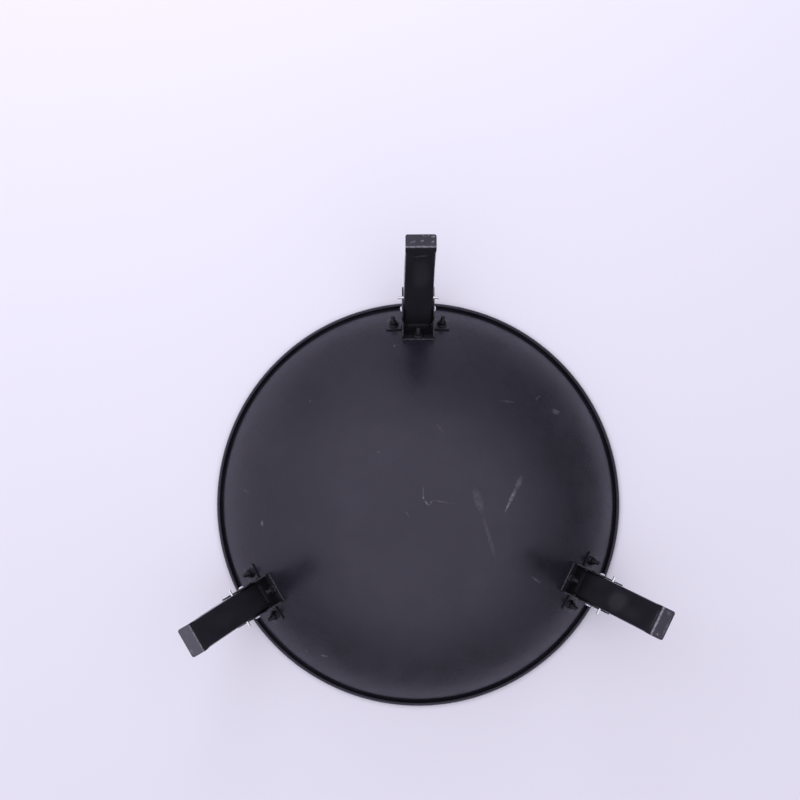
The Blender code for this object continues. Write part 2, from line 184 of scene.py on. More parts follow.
def add_camera():
    data = bpy.data.cameras.new("camera")
    data.lens = LENS
    data.sensor_width = SENSOR
    camera = bpy.data.objects.new("camera", data)
    bpy.context.scene.collection.objects.link(camera)
    camera.location = AXIS + Vector((CAMERA_ASIDE, CAMERA_BESIDE, -CAMERA_DISTANCE))
    aim = AXIS + Vector((AIM_ASIDE, AIM_BESIDE, 0.0)) - camera.location
    side = aim.cross(Vector((0.0, 1.0, 0.0))).normalized()
    up = side.cross(aim).normalized()
    camera.rotation_euler = Matrix((side, up, -aim.normalized())).transposed().to_euler()
    bpy.context.scene.camera = camera


def add_area(name, target, offset, size, power):
    """A round lamp at an offset from the point that it shines on."""
    data = bpy.data.lights.new(name, "AREA")
    data.shape = "DISK"
    data.size = size
    data.energy = power
    data.color = LIGHT_TINT
    lamp = bpy.data.objects.new(name, data)
    bpy.context.scene.collection.objects.link(lamp)
    place = target + Vector(offset)
    lamp.location = place
    lamp.rotation_euler = (target - place).to_track_quat("-Z", "Y").to_euler()
    return lamp


class Nodes:
    """A short way to write a node tree."""

    def __init__(self, tree):
        self.tree = tree
        self.nodes, self.links = tree.nodes, tree.links

    def add(self, kind, settings=None, **inputs):
        node = self.nodes.new(kind)
        for key, value in (settings or {}).items():
            setattr(node, key, value)
        for key, value in inputs.items():
            self.set(node, key, value)
        return node

    def set(self, node, key, value):
        """Set or link an input by its name, or by its number as i0, i1 and so on."""
        numbered = key[0] == "i" and key[1:].isdigit()
        socket = node.inputs[int(key[1:])] if numbered else node.inputs[key.replace("_", " ")]
        if isinstance(value, bpy.types.NodeSocket):
            self.links.new(value, socket)
        else:
            socket.default_value = value

    def math(self, operation, first, second=0.0, third=0.0, clamp=False):
        settings = {"operation": operation, "use_clamp": clamp}
        return self.add("ShaderNodeMath", settings, i0=first, i1=second, i2=third).outputs[0]

    def vector(self, operation, first, second=(0.0, 0.0, 0.0)):
        node = self.add("ShaderNodeVectorMath", {"operation": operation}, i0=first, i1=second)
        scalar = operation in ("DOT_PRODUCT", "LENGTH", "DISTANCE")
        return node.outputs["Value" if scalar else "Vector"]

    def ramp(self, value, low, high, start=0.0, end=1.0, smooth=True):
        """The value from low to high spread over start to end, held at both ends."""
        settings = {"interpolation_type": "SMOOTHSTEP" if smooth else "LINEAR"}
        node = self.add("ShaderNodeMapRange", settings, i0=value, i1=low, i2=high, i3=start, i4=end)
        return node.outputs[0]

    def noise(self, place, scale, detail=2.0, roughness=0.5, distortion=0.0):
        node = self.add("ShaderNodeTexNoise", None, Vector=place, Scale=scale, Detail=detail)
        node.inputs["Roughness"].default_value = roughness
        node.inputs["Distortion"].default_value = distortion
        return node.outputs[0]

    def mix(self, share, first, second):
        node = self.add("ShaderNodeMix", {"data_type": "RGBA"})
        self.set(node, "i0", share)
        self.set(node, "i6", first)
        self.set(node, "i7", second)
        return node.outputs[2]


def new_material(name):
    made = bpy.data.materials.new(name)
    made.use_nodes = True
    return made, Nodes(made.node_tree), made.node_tree.nodes["Principled BSDF"]


def one_sided(name, colour, mirrored=None):
    """A matt surface that is clear from behind, its tone in reflections scaled by mirrored."""
    made = bpy.data.materials.new(name)
    made.use_nodes = True
    made.node_tree.nodes.clear()
    net = Nodes(made.node_tree)
    back = net.add("ShaderNodeNewGeometry").outputs["Backfacing"]
    matt = net.add("ShaderNodeBsdfDiffuse", None, Color=colour).outputs[0]
    if mirrored is not None:
        glossy_ray = net.add("ShaderNodeLightPath").outputs["Is Glossy Ray"]
        share = net.math("MULTIPLY_ADD", net.math("SUBTRACT", mirrored(net), 1.0), glossy_ray, 1.0)
        tone = net.add("ShaderNodeVectorMath", {"operation": "SCALE"}, i0=colour[:3], Scale=share)
        net.links.new(tone.outputs[0], matt.node.inputs["Color"])
    clear = net.add("ShaderNodeBsdfTransparent").outputs[0]
    mix = net.add("ShaderNodeMixShader", None, i0=back, i1=matt, i2=clear)
    net.add("ShaderNodeOutputMaterial", None, Surface=mix.outputs[0])
    return made


SHARE_BY_RIM = 1.55


def fading(net):
    """The backdrop's share in reflections: brighter by the rim, darker far off and away from the key."""
    place = net.vector("SUBTRACT", net.add("ShaderNodeTexCoord").outputs["Object"], tuple(AXIS))
    far = net.ramp(net.add("ShaderNodeSeparateXYZ", None, i0=place).outputs[0], 0.2, 0.9, 0.32, 0.80)
    near = net.ramp(net.vector("LENGTH", place), 0.34, 0.80)
    by_rim = net.math("MULTIPLY_ADD", near, -SHARE_BY_RIM, SHARE_BY_RIM)
    return net.math("ADD", net.math("MULTIPLY", far, near), by_rim)


def add_plane(name, z, half, faces_up, surface):
    shape = bmesh.new()
    corners = [(-half, -half), (half, -half), (half, half), (-half, half)]
    if not faces_up:
        corners.reverse()
    shape.faces.new([shape.verts.new((x, y, z)) for x, y in corners])
    made = add_mesh(name, bmesh_done(name, shape), surface, smooth=False)
    made.visible_shadow = False
    return made


LIGHT_TINT = (0.93, 0.91, 1.0)
OVERHEAD = (0.0, -0.15, -0.989)
BRIGHT_CORNER = (0.62, 0.62, -0.48)


def add_world():
    """Soft light, brightest behind the camera, with weaker glows above, along the horizon, from two
    sides and a corner, and one side darker."""
    world = bpy.data.worlds.new("studio")
    bpy.context.scene.world = world
    world.use_nodes = True
    net = Nodes(world.node_tree)
    ground = world.node_tree.nodes["Background"]
    ground.inputs["Color"].default_value = (*LIGHT_TINT, 1.0)
    facing = net.add("ShaderNodeTexCoord").outputs["Generated"]
    parts = net.add("ShaderNodeSeparateXYZ", None, i0=facing).outputs
    ceiling = net.ramp(net.vector("DOT_PRODUCT", facing, OVERHEAD), 0.22, 0.85, 0.32, 1.27)
    above = net.ramp(parts[2], 0.25, 0.80, 0.0, 0.75)
    side = net.ramp(parts[0], 0.74, 1.0, 0.0, 0.62, smooth=False)
    top = net.ramp(parts[1], 0.78, 1.0, 0.0, 0.30, smooth=False)
    horizon = net.math("MULTIPLY", net.ramp(parts[2], -0.10, 0.0), net.ramp(parts[2], 0.0, 0.15, 0.3, 0.0))
    dark = net.ramp(parts[0], -0.95, -0.60, -0.08, 0.0)
    corner = net.ramp(net.vector("DOT_PRODUCT", facing, BRIGHT_CORNER), 0.80, 1.0, 0.0, 0.42, smooth=False)
    strength = ceiling
    for glow in (above, horizon, side, top, corner, dark):
        strength = net.math("ADD", strength, glow)
    net.links.new(strength, ground.inputs["Strength"])
    seen = net.add("ShaderNodeBackground", None, Color=linear(240, 238, 252), Strength=1.0)
    camera_ray = net.add("ShaderNodeLightPath").outputs["Is Camera Ray"]
    mix = net.add("ShaderNodeMixShader", None, i0=camera_ray, i1=ground.outputs[0], i2=seen.outputs[0])
    net.links.new(mix.outputs[0], world.node_tree.nodes["World Output"].inputs["Surface"])


def add_stage():
    sheet = linear(217, 215, 224)
    floor = add_plane("floor", 0.0, 12.0, True, one_sided("pale_floor", sheet))
    floor.visible_glossy = False
    floor.visible_diffuse = False
    add_plane("backdrop", AXIS.z + 0.0005, 6.0, False, one_sided("pale_backdrop", sheet, fading))
    add_world()
    middle = Vector((AXIS.x, AXIS.y, 0.1))
    key = add_area("key_below", middle, (0.90, 1.05, -1.40), size=2.2, power=11.5)
    low = add_area("low_below", middle, (0.05, 2.1, -0.50), size=1.2, power=14.5)
    for lamp in (key, low):
        lamp.visible_glossy = False
        lamp.visible_camera = False
    add_area("key_above", middle, (-1.4, -1.5, 2.4), size=1.6, power=60.0)
    add_area("fill_above", middle, (1.8, 0.8, 2.2), size=2.2, power=25.0)
    bpy.context.scene.view_settings.view_transform = "Standard"


# ---------------------------------------------------------------- mesh helpers


def bmesh_done(name, shape):
    mesh = bpy.data.meshes.new(name)
    shape.to_mesh(mesh)
    shape.free()
    return mesh


def add_mesh(name, mesh, surface, smooth=True, sharp=35.0):
    made = bpy.data.objects.new(name, mesh)
    bpy.context.scene.collection.objects.link(made)
    mesh.materials.clear()
    mesh.materials.append(surface)
    if smooth:
        mesh.shade_smooth()
        mesh.set_sharp_from_angle(angle=math.radians(sharp))
    return made


def mesh_of_rings(name, rings, closed):
    """A tube of quads through rings of the same length, closed on itself or with capped ends."""
    shape = bmesh.new()
    loops = [[shape.verts.new(point) for point in ring] for ring in rings]
    pairs = list(zip(loops, loops[1:]))
    if closed:
        pairs.append((loops[-1], loops[0]))
    for low, high in pairs:
        for i in range(len(low)):
            j = (i + 1) % len(low)
            shape.faces.new((low[i], low[j], high[j], high[i]))
    if not closed:
        shape.faces.new(list(reversed(loops[0])))
        shape.faces.new(loops[-1])
    bmesh.ops.recalc_face_normals(shape, faces=shape.faces)
    return bmesh_done(name, shape)


def turned(name, profile, steps, closed=False):
    """A solid turned about Z. Profile points are (radius, height), or functions of the angle."""
    rings = []
    for point in profile:
        ring = []
        for i in range(steps):
            angle = 2 * math.pi * i / steps
            radius, z = point(angle) if callable(point) else point
            ring.append((radius * math.cos(angle), radius * math.sin(angle), z))
        rings.append(ring)
    return mesh_of_rings(name, rings, closed)


def rod(name, radius, start, end, steps=36):
    return turned(name, [(radius, start), (radius, end)], steps)


def evaluated(mesh, add_modifiers):
    """The mesh after the modifiers that add_modifiers puts on its object."""
    base = bpy.data.objects.new("base", mesh)
    bpy.context.scene.collection.objects.link(base)
    helpers = add_modifiers(base) or []
    graph = bpy.context.evaluated_depsgraph_get()
    result = bpy.data.meshes.new_from_object(base.evaluated_get(graph), depsgraph=graph)
    result.name = mesh.name
    for thing in (base, *helpers):
        bpy.data.objects.remove(thing)
    return result


def cut(mesh, tools):
    """The mesh with each tool mesh cut from it."""

    def modifiers(base):
        helpers = []
        for tool in tools:
            helper = bpy.data.objects.new("tool", tool)
            bpy.context.scene.collection.objects.link(helper)
            helper.hide_render = True
            helpers.append(helper)
            change = base.modifiers.new("change", "BOOLEAN")
            change.operation = "DIFFERENCE"
            change.solver = "EXACT"
            change.object = helper
        return helpers

    return evaluated(mesh, modifiers)


def rounded(mesh, width, segments=2, angle=38.0):
    """The mesh with its sharp edges rounded off."""

    def modifiers(base):
        edge = base.modifiers.new("edge", "BEVEL")
        edge.width = width
        edge.segments = segments
        edge.limit_method = "ANGLE"
        edge.angle_limit = math.radians(angle)
        edge.use_clamp_overlap = True

    return evaluated(mesh, modifiers)


def moved(mesh, matrix):
    mesh.transform(matrix)
    return mesh


def station(number):
    """From one leg's own frame to the CAD's: X out from the bowl's axis, Z up."""
    turn = Matrix.Rotation(math.radians(LEG_AZIMUTHS[number - 1]), 4, "Z")
    return Matrix.Translation((AXIS.x, AXIS.y, 0.0)) @ turn


def arc(centre, radius, start, end, steps):
    """Points on an arc, angles in degrees."""
    points = []
    for i in range(steps + 1):
        angle = math.radians(start + (end - start) * i / steps)
        points.append((centre[0] + radius * math.cos(angle), centre[1] + radius * math.sin(angle)))
    return points


# ---------------------------------------------------------------- places on the bowl and hinge


def bowl_point(along, across, above):
    """A place on the bowl's outer wall at the hinge, by arc lengths from the wall under the pivot."""
    lean = HINGE_ANGLE + along / BOWL_OUT
    side = across / BOWL_OUT
    radius = BOWL_OUT + above
    level = radius * math.cos(side)
    return Vector((level * math.sin(lean), radius * math.sin(side), BOWL_CENTRE_Z - level * math.cos(lean)))


def wall_frame(along, across):
    """The matrix that stands a fastener on the wall there, its +Z pointing away from the bowl."""
    foot = bowl_point(along, across, 0.0)
    out = (bowl_point(along, across, 0.01) - foot).normalized()
    up = (bowl_point(along + 0.001, across, 0.0) - foot).normalized()
    side = out.cross(up).normalized()
    turn = Matrix((out.cross(side) * -1, side, out)).transposed()
    return Matrix.Translation(foot) @ turn.to_4x4()


def hinge_point(along, out):
    """A place in the hinge's own plane: along the wall's tangent, and out from the pivot."""
    tangent = Vector((math.cos(HINGE_ANGLE), 0.0, math.sin(HINGE_ANGLE)))
    normal = Vector((math.sin(HINGE_ANGLE), 0.0, -math.cos(HINGE_ANGLE)))
    return Vector((PIVOT_RADIUS, 0.0, PIVOT_Z)) + tangent * along + normal * out


def pin_place():
    return hinge_point(PIN_REACH * math.cos(PIN_LEAN), PIN_REACH * math.sin(PIN_LEAN))


def bolt_places():
    return {
        "left": (SIDE_BOLT_ALONG, SIDE_BOLT_ACROSS),
        "right": (SIDE_BOLT_ALONG, -SIDE_BOLT_ACROSS),
        "tongue": (TONGUE_BOLT_ALONG, 0.0),
    }


def draped(along, across, above):
    """A place over the bowl's wall at the hinge, with its distance across measured straight."""
    level = math.sqrt(BOWL_OUT**2 - across**2)
    reach = level + above * BOWL_OUT / level
    lean = HINGE_ANGLE + along / BOWL_OUT
    return Vector((reach * math.sin(lean), across, BOWL_CENTRE_Z - reach * math.cos(lean)))


def laid_across(mesh, place):
    """A mesh turned about Z, laid along the hinge's axis and centred on a place."""
    turn = Matrix.Rotation(math.radians(90), 4, "X")
    return moved(mesh, Matrix.Translation(place) @ turn)


def ear_drill(radius, place):
    """A drill through both ears, or both of the leg's flanges."""
    return laid_across(rod("drill", radius, -DRILL_REACH, DRILL_REACH), place)


# ---------------------------------------------------------------- bowl


def bowl_mesh():
    """The pressed sheet with its rolled rim and screw holes."""
    under, inside = [], []
    for i in range(WALL_STEPS + 1):
        lean = RIM_SLOPE * (i + 0.35) / (WALL_STEPS + 0.35)
        for points, radius in ((under, BOWL_OUT), (inside, BOWL_OUT - SHEET)):
            points.append((radius * math.sin(lean), BOWL_CENTRE_Z - radius * math.cos(lean)))
    for i in range(1, CURL_STEPS + 1):
        angle = CURL_JOIN - CURL_TURN * i / CURL_STEPS
        for points, radius in ((under, CURL_RADIUS - SHEET), (inside, CURL_RADIUS)):
            x = CURL_CENTRE + radius * math.cos(angle)
            points.append((x, HEIGHT - CURL_RADIUS + radius * math.sin(angle)))
    mesh = turned("bowl_sheet", under + list(reversed(inside)), BOWL_SEGMENTS)
    drills = []
    for azimuth in LEG_AZIMUTHS:
        turn = Matrix.Rotation(math.radians(azimuth), 4, "Z")
        for along, across in bolt_places().values():
            drill = rod("drill", HOLE_RADIUS, -0.006, 0.004, 24)
            drills.append(moved(drill, turn @ wall_frame(along, across)))
    return moved(cut(mesh, drills), Matrix.Translation((AXIS.x, AXIS.y, 0.0)))


# ---------------------------------------------------------------- bracket


def ear_outline():
    """One ear above its bend, from its outboard foot round to its inboard end, about the pivot."""
    pin = (PIN_REACH * math.cos(PIN_LEAN), PIN_REACH * math.sin(PIN_LEAN))
    crown = arc(CROWN_CENTRE, CROWN_RADIUS, 10, 90, 8) + [CROWN_END]
    seat = arc(pin, PIN_HOLE, 40, -90, 12) + [SEAT_LIP]
    cheek = arc((0.0, 0.0), CHEEK_RADIUS, 125, 200, 14)
    return list(EAR_OUTBOARD) + crown + seat + cheek + [EAR_INBOARD, (TONGUE_START, EAR_TIP)]


def bend_section(turn, steps=6):
    """The sheet's middle across a bend between an ear and the wall: in to the tongue, or out to a tab."""
    middle = EAR_INSIDE + PLATE / 2
    points = []
    for i in range(steps + 1):
        angle = math.pi / 2 * i / steps
        across = middle + turn * BRACKET_BEND * (1 - math.cos(angle))
        points.append((across, GAP + PLATE / 2 + BRACKET_BEND * (1 - math.sin(angle))))
    return points


def bracket_mesh():
    """One pressed sheet: two ears that bend in to a tongue and out to two tabs."""
    tongue_end = TAB_START - RELIEF
    tongue_rows = [TONGUE_START + (tongue_end - TONGUE_START) * i / 6 for i in range(7)]
    tab_rows = [TAB_START + (TAB_END - TAB_START) * i / 6 for i in range(7)]
    flat = GAP + PLATE / 2
    tongue_line = bend_section(-1) + [(TONGUE_FLAT, flat), (0.0, flat)]
    tab_line = bend_section(1) + [((EAR_INSIDE + TAB_REACH) / 2, flat), (TAB_REACH, flat)]
    shape = bmesh.new()
    lip_rows = [tongue_end + (TONGUE_END - tongue_end) * i / 6 for i in range(1, 7)]
    spine = {row: shape.verts.new(draped(row, 0.0, flat)) for row in tongue_rows + lip_rows}
    tab_corners = []
    for side in (1, -1):
        grids = []
        for rows, line in ((tongue_rows, tongue_line), (tab_rows, tab_line)):
            grid = []
            for row in rows:
                made = [shape.verts.new(draped(row, side * across, above)) for across, above in line[:-1]]
                if line is tongue_line:
                    made.append(spine[row])
                else:
                    made.append(shape.verts.new(draped(row, side * TAB_REACH, flat)))
                grid.append(made)
            for low, high in zip(grid, grid[1:]):
                for i in range(len(line) - 1):
                    shape.faces.new((low[i], low[i + 1], high[i + 1], high[i]))
            grids.append(grid)
        inner = grids[0][-1][-3:]
        for row in lip_rows:
            edge = [draped(row, side * across, flat) for across in (TONGUE_HALF_WIDTH, TONGUE_FLAT)]
            outer = [shape.verts.new(place) for place in edge] + [spine[row]]
            for i in range(2):
                shape.faces.new((inner[i], inner[i + 1], outer[i + 1], outer[i]))
            inner = outer
        tab_corners += [grids[1][0][-1], grids[1][-1][-1]]
        across = Vector((0.0, side * (EAR_INSIDE + PLATE / 2), 0.0))
        rim = [shape.verts.new(hinge_point(along, out) + across) for along, out in ear_outline()]
        shape.faces.new([row[0] for grid in grids for row in grid] + rim)
    bmesh.ops.bevel(shape, geom=tab_corners, offset=TAB_CORNER, segments=6, profile=0.5, affect="VERTICES")
    bmesh.ops.recalc_face_normals(shape, faces=shape.faces)

    def thicken(base):
        skin = base.modifiers.new("skin", "SOLIDIFY")
        skin.thickness = PLATE
        skin.offset = 0.0
        skin.use_even_offset = True

    mesh = evaluated(bmesh_done("bracket", shape), thicken)
    drills = [ear_drill(RIVET_HOLE, hinge_point(0.0, 0.0))]
    for along, across in bolt_places().values():
        drills.append(moved(rod("drill", HOLE_RADIUS, -0.002, 0.006), wall_frame(along, across)))
    return rounded(cut(mesh, drills), EDGE_ROUND)


# ---------------------------------------------------------------- leg


def leg_path():
    """Stations down the leg's lower face: (radius, height, slope, flange depth, opening, width)."""
    start_r = PIVOT_RADIUS - WEB_OFFSET * math.sin(LEG_START_SLOPE)
    start_z = PIVOT_Z - WEB_OFFSET * math.cos(LEG_START_SLOPE)
    chord = math.atan2(start_z, FOOT_START - start_r)
    end_slope = 2 * chord - LEG_START_SLOPE
    turn = end_slope - LEG_START_SLOPE
    bend_drop = FOOT_BEND_RADIUS * (1 - math.cos(end_slope))
    span = (start_z - bend_drop) / (math.sin(chord) * math.sin(turn / 2) / (turn / 2))
    stations = []
    for i in range(11):
        step = -HEEL_LENGTH * (1 - i / 10)
        depth = min(1.0, HEEL_DEPTH + (1.0 - HEEL_DEPTH) * (step + HEEL_LENGTH) / HEEL_ROUND)
        r = start_r + step * math.cos(LEG_START_SLOPE)
        z = start_z - step * math.sin(LEG_START_SLOPE)
        stations.append((r, z, LEG_START_SLOPE, depth * FLANGE_DEPTH, 1.0, 1.0))
    r, z, before = start_r, start_z, 0.0
    for i in range(1, 51):
        share = i / 50
        middle = LEG_START_SLOPE + turn * (before + share) / 2
        r += (share - before) * span * math.cos(middle)
        z -= (share - before) * span * math.sin(middle)
        taper = max(0.0, (share - TAPER_START) / (TAPER_END - TAPER_START))
        depth = max(FLANGE_LEAST, FLANGE_DEPTH * (1.0 - taper**TAPER_POWER))
        opening = min(1.0, max(0.0, (OPENING_END - share) / (OPENING_END - OPENING_START)))
        stations.append((r, z, LEG_START_SLOPE + turn * share, depth, opening, 1.0))
        before = share
    r_bend = r + FOOT_BEND_RADIUS * math.sin(end_slope)
    for i in range(1, 11):
        slope = end_slope * (1 - i / 10)
        r = r_bend - FOOT_BEND_RADIUS * math.sin(slope)
        z = FOOT_BEND_RADIUS * (1 - math.cos(slope))
        stations.append((r, z, slope, FLANGE_LEAST, 0.0, 1.0))
    for i in range(7):
        angle = math.pi / 2 * i / 6
        r = FOOT_END - FOOT_CORNER * (1 - math.sin(angle))
        width = 1.0 - FOOT_CORNER * (1 - math.cos(angle)) / LEG_HALF_WIDTH
        stations.append((r, 0.0, 0.0, FLANGE_LEAST, 0.0, width))
    return stations


def leg_section(depth, opening, steps=8):
    """Half of the channel's section as (across, in) points of its outer and inner faces."""
    flat = LEG_HALF_WIDTH - LEG_BEND
    arc_length = (LEG_BEND - LEG_SHEET / 2) * math.pi / 2
    bend = max(opening, 0.001) * math.pi / 2
    radius = arc_length / bend
    middle = [(0.0, 0.0, 0.0)]
    for i in range(steps + 1):
        angle = bend * i / steps
        middle.append((flat + radius * math.sin(angle), radius * (1 - math.cos(angle)), angle))
    x, y, angle = middle[-1]
    middle.append((x + depth * math.cos(angle), y + depth * math.sin(angle), angle))
    outer, inner = [], []
    for x, y, angle in middle:
        aside = LEG_SHEET / 2 * math.sin(angle)
        inward = LEG_SHEET / 2 * math.cos(angle)
        outer.append((x + aside, y + LEG_SHEET / 2 - inward))
        inner.append((x - aside, y + LEG_SHEET / 2 + inward))
    return outer, inner


def leg_mesh():
    """The pressed channel, its flanges running out above the foot, which is turned outwards."""
    rings = []
    for r, z, slope, depth, opening, width in leg_path():
        outer, inner = leg_section(depth, opening)
        loop = [(-x, y) for x, y in reversed(outer[1:])] + outer
        loop += list(reversed(inner)) + [(-x, y) for x, y in inner[1:]]
        scale = width * LEG_HALF_WIDTH / outer[-1][0]
        inward = Vector((math.sin(slope), 0.0, math.cos(slope)))
        at = Vector((r, 0.0, z))
        rings.append([at + inward * y + Vector((0.0, x * scale, 0.0)) for x, y in loop])
    mesh = mesh_of_rings("leg", rings, False)
    drills = [ear_drill(RIVET_HOLE, hinge_point(0.0, 0.0)), ear_drill(PIN_HOLE, pin_place())]
    return rounded(cut(mesh, drills), EDGE_ROUND)


# ---------------------------------------------------------------- fasteners


def screw_mesh():
    """A pan-head screw with a cross recess, and a thread on the end outside the nut."""
    under = -SHEET - GAP
    rim = under - SCREW_HEAD_SIDE
    head = [(SCREW_RADIUS, under), (SCREW_HEAD_RADIUS - SOFT_EDGE, under)]
    head.append((SCREW_HEAD_RADIUS, under - SOFT_EDGE))
    for i in range(7):
        angle = math.pi / 2 * (1 - i / 7.5)
        drop = (SCREW_HEAD_HEIGHT - SCREW_HEAD_SIDE) * math.cos(angle)
        head.append((SCREW_HEAD_RADIUS * math.sin(angle), rim - drop))
    shank = []
    count = round((SCREW_REACH - NUT_TOP + 0.001) / THREAD_PITCH * THREAD_STEPS)
    for i in range(count + 1):
        z = SCREW_REACH - THREAD_PITCH * i / THREAD_STEPS

        def wall(angle, z=z):
            wave = (z / THREAD_PITCH - angle / (2 * math.pi)) % 1.0
            groove = THREAD_DEPTH * (1 - abs(2 * wave - 1))
            end = max(0.0, z - (SCREW_REACH - SCREW_CHAMFER))
            return max(0.0012, SCREW_RADIUS - groove - end), z

        shank.append(wall)
    mesh = turned("screw", shank + head, THREAD_SEGMENTS)
    bottom = rim - (SCREW_HEAD_HEIGHT - SCREW_HEAD_SIDE)
    slots = []
    for turn in (0.0, math.pi / 2):
        box = bmesh.new()
        bmesh.ops.create_cube(box, size=1.0)
        place = Matrix.Translation((0, 0, bottom)) @ Matrix.Rotation(turn, 4, "Z")
        size = Matrix.Diagonal((*DRIVE_SLOT, 1.0))
        bmesh.ops.transform(box, verts=box.verts, matrix=place @ size)
        slots.append(bmesh_done("slot", box))
    return cut(mesh, slots)


def hexagon(flats, z, widest=1.0):
    """A ring of a hexagon's outline, its corners held within the widest radius."""

    def point(angle):
        return min(flats / math.cos((angle % (math.pi / 3)) - math.pi / 6), widest), z

    return point


def nut_mesh():
    """A hexagon flange nut, its top corners and its flange rounded off."""
    foot = GAP + PLATE + GAP
    top = NUT_TOP
    corner = NUT_FLATS / math.cos(math.pi / 6)
    profile = [(HOLE_RADIUS, foot), (NUT_FLANGE_RADIUS - SOFT_EDGE, foot)]
    profile.append((NUT_FLANGE_RADIUS, foot + 0.0003))
    profile.append((NUT_FLANGE_RADIUS - SOFT_EDGE, foot + 0.0008))
    profile.append((NUT_FLANGE_RADIUS - 0.0008, foot + NUT_FLANGE))
    profile += [hexagon(NUT_FLATS + 0.0001, foot + 0.0018), hexagon(NUT_FLATS, foot + 0.0022)]
    for i in range(6):
        z = top - 0.0010 + 0.0010 * i / 5
        profile.append(hexagon(NUT_FLATS, z, corner - 0.0011 * (i / 5) ** 2))
    profile += [(HOLE_RADIUS + 0.0006, top), (HOLE_RADIUS, top - 0.0006)]
    return turned("nut", profile, 72, closed=True)


def rivet_mesh():
    """The pivot rivet, with a low domed head outside each ear."""
    face = EAR_INSIDE + PLATE + GAP
    side = [(RIVET_RADIUS, face), (RIVET_HEAD_RADIUS - SOFT_EDGE, face)]
    side.append((RIVET_HEAD_RADIUS, face + SOFT_EDGE))
    for i in range(1, 10):
        angle = math.pi / 2 * (1 - i / 9.5)
        rise = SOFT_EDGE + (RIVET_HEAD - SOFT_EDGE) * math.cos(angle)
        side.append((RIVET_HEAD_RADIUS * math.sin(angle), face + rise))
    profile = [(radius, -z) for radius, z in reversed(side)] + side
    return laid_across(turned("rivet", profile, 48), hinge_point(0.0, 0.0))


def pin_mesh():
    """The stop pin, a plain rod with rounded ends."""
    half = PIN_LENGTH / 2
    profile = []
    for i in range(5):
        angle = math.pi / 2 * i / 4
        radius = PIN_RADIUS - PIN_CHAMFER * (1 - math.sin(angle))
        profile.append((radius, -half + PIN_CHAMFER * (1 - math.cos(angle))))
    profile += [(radius, -z) for radius, z in reversed(profile)]
    return laid_across(turned("pin", profile, 36), pin_place())


# ---------------------------------------------------------------- materials

BOWL_TONE = (0.0078, 0.0073, 0.0108)
LEG_TONE = (0.0100, 0.0096, 0.0120)
# The bracket's tone is darker as painted shade for the pocket between its ears.
BRACKET_SHADED_TONE = (0.0052, 0.0050, 0.0062)
ROUGH_SPREAD = 0.05
# The lighter colour that the marks show: scuffs and wear, and also the painted reflections on the legs and
# the painted highlight on the brackets.
SCUFF_AND_PAINTED_LIGHT = (0.24, 0.24, 0.27, 1.0)
PAINT_SHEEN = (0.85, 0.81, 1.0, 1.0)

# Wear on the outside of the bowl: place from its axis in metres, half length, half width, turn in
# degrees, strength
BOWL_MARKS = (
    (-0.122, 0.010, 0.020, 0.0032, 116.0, 0.42),
    (-0.116, -0.002, 0.011, 0.0013, 116.0, 0.60),
    (-0.131, 0.028, 0.014, 0.0045, 116.0, 0.24),
    (-0.003, 0.017, 0.009, 0.0009, 90.0, 0.32),
    (-0.003, 0.010, 0.0026, 0.0014, 90.0, 0.70),
    (-0.007, 0.003, 0.006, 0.0013, 49.0, 0.42),
    (-0.013, 0.003, 0.005, 0.0013, 126.0, 0.36),
    (-0.030, 0.004, 0.018, 0.0010, 9.0, 0.26),
    (-0.076, 0.006, 0.022, 0.0075, 73.0, 0.13),
    (-0.091, -0.043, 0.038, 0.0034, 73.0, 0.11),
    (-0.187, 0.126, 0.008, 0.0050, 20.0, 0.20),
    (0.214, -0.026, 0.0048, 0.0026, 92.0, 0.42),
    (-0.157, -0.102, 0.010, 0.0020, 35.0, 0.26),
    (0.130, -0.208, 0.006, 0.0016, 8.0, 0.34),
    (0.056, 0.070, 0.0042, 0.0010, 12.0, 0.28),
    (-0.118, 0.139, 0.013, 0.0016, 6.0, 0.13),
    (-0.162, 0.145, 0.0055, 0.0022, 140.0, 0.14),
    (-0.026, 0.102, 0.010, 0.0016, 50.0, 0.11),
    (0.018, -0.012, 0.007, 0.0013, 56.0, 0.14),
    (0.034, 0.216, 0.0018, 0.0018, 0.0, 0.22),
    (0.149, 0.140, 0.0018, 0.0018, 0.0, 0.22),
    (0.238, 0.018, 0.008, 0.0016, 35.0, 0.11),
    (0.155, -0.202, 0.005, 0.0014, 50.0, 0.12),
)

# Wear on each leg: place out from the bowl's axis and across in metres, then as above
LEG_MARKS = {
    1: (
        (0.3440, 0.0156, 0.0034, 0.0017, 86.0, 0.85),
        (0.3450, 0.0041, 0.0036, 0.0010, 112.0, 0.80),
        (0.3455, 0.0098, 0.0016, 0.0010, 70.0, 0.60),
        (0.3385, 0.0014, 0.0025, 0.0019, 60.0, 0.75),
        (0.3375, -0.0099, 0.0038, 0.0018, 80.0, 0.50),
        (0.3360, -0.0130, 0.0018, 0.0014, 30.0, 0.45),
        (0.3373, 0.0152, 0.0030, 0.0018, 70.0, 0.50),
        (0.3220, -0.0010, 0.0105, 0.0006, 83.0, 0.30),
        (0.3222, 0.0050, 0.0045, 0.0005, 84.0, 0.40),
        (0.3150, -0.0060, 0.0008, 0.0008, 0.0, 0.20),
    ),
    2: (
        (0.3440, -0.0120, 0.0050, 0.0024, 80.0, 0.40),
        (0.3390, 0.0120, 0.0040, 0.0030, 30.0, 0.30),
        (0.3130, 0.0060, 0.0012, 0.0006, 20.0, 0.25),
        (0.3190, -0.0040, 0.0010, 0.0006, 60.0, 0.25),
    ),
    3: (
        (0.3279, 0.0000, 0.0190, 0.0006, 90.0, 0.32),
        (0.3445, 0.0020, 0.0150, 0.0018, 90.0, 0.26),
        (0.3400, -0.0150, 0.0045, 0.0030, 10.0, 0.24),
        (0.3380, 0.0150, 0.0020, 0.0020, 0.0, 0.45),
    ),
}
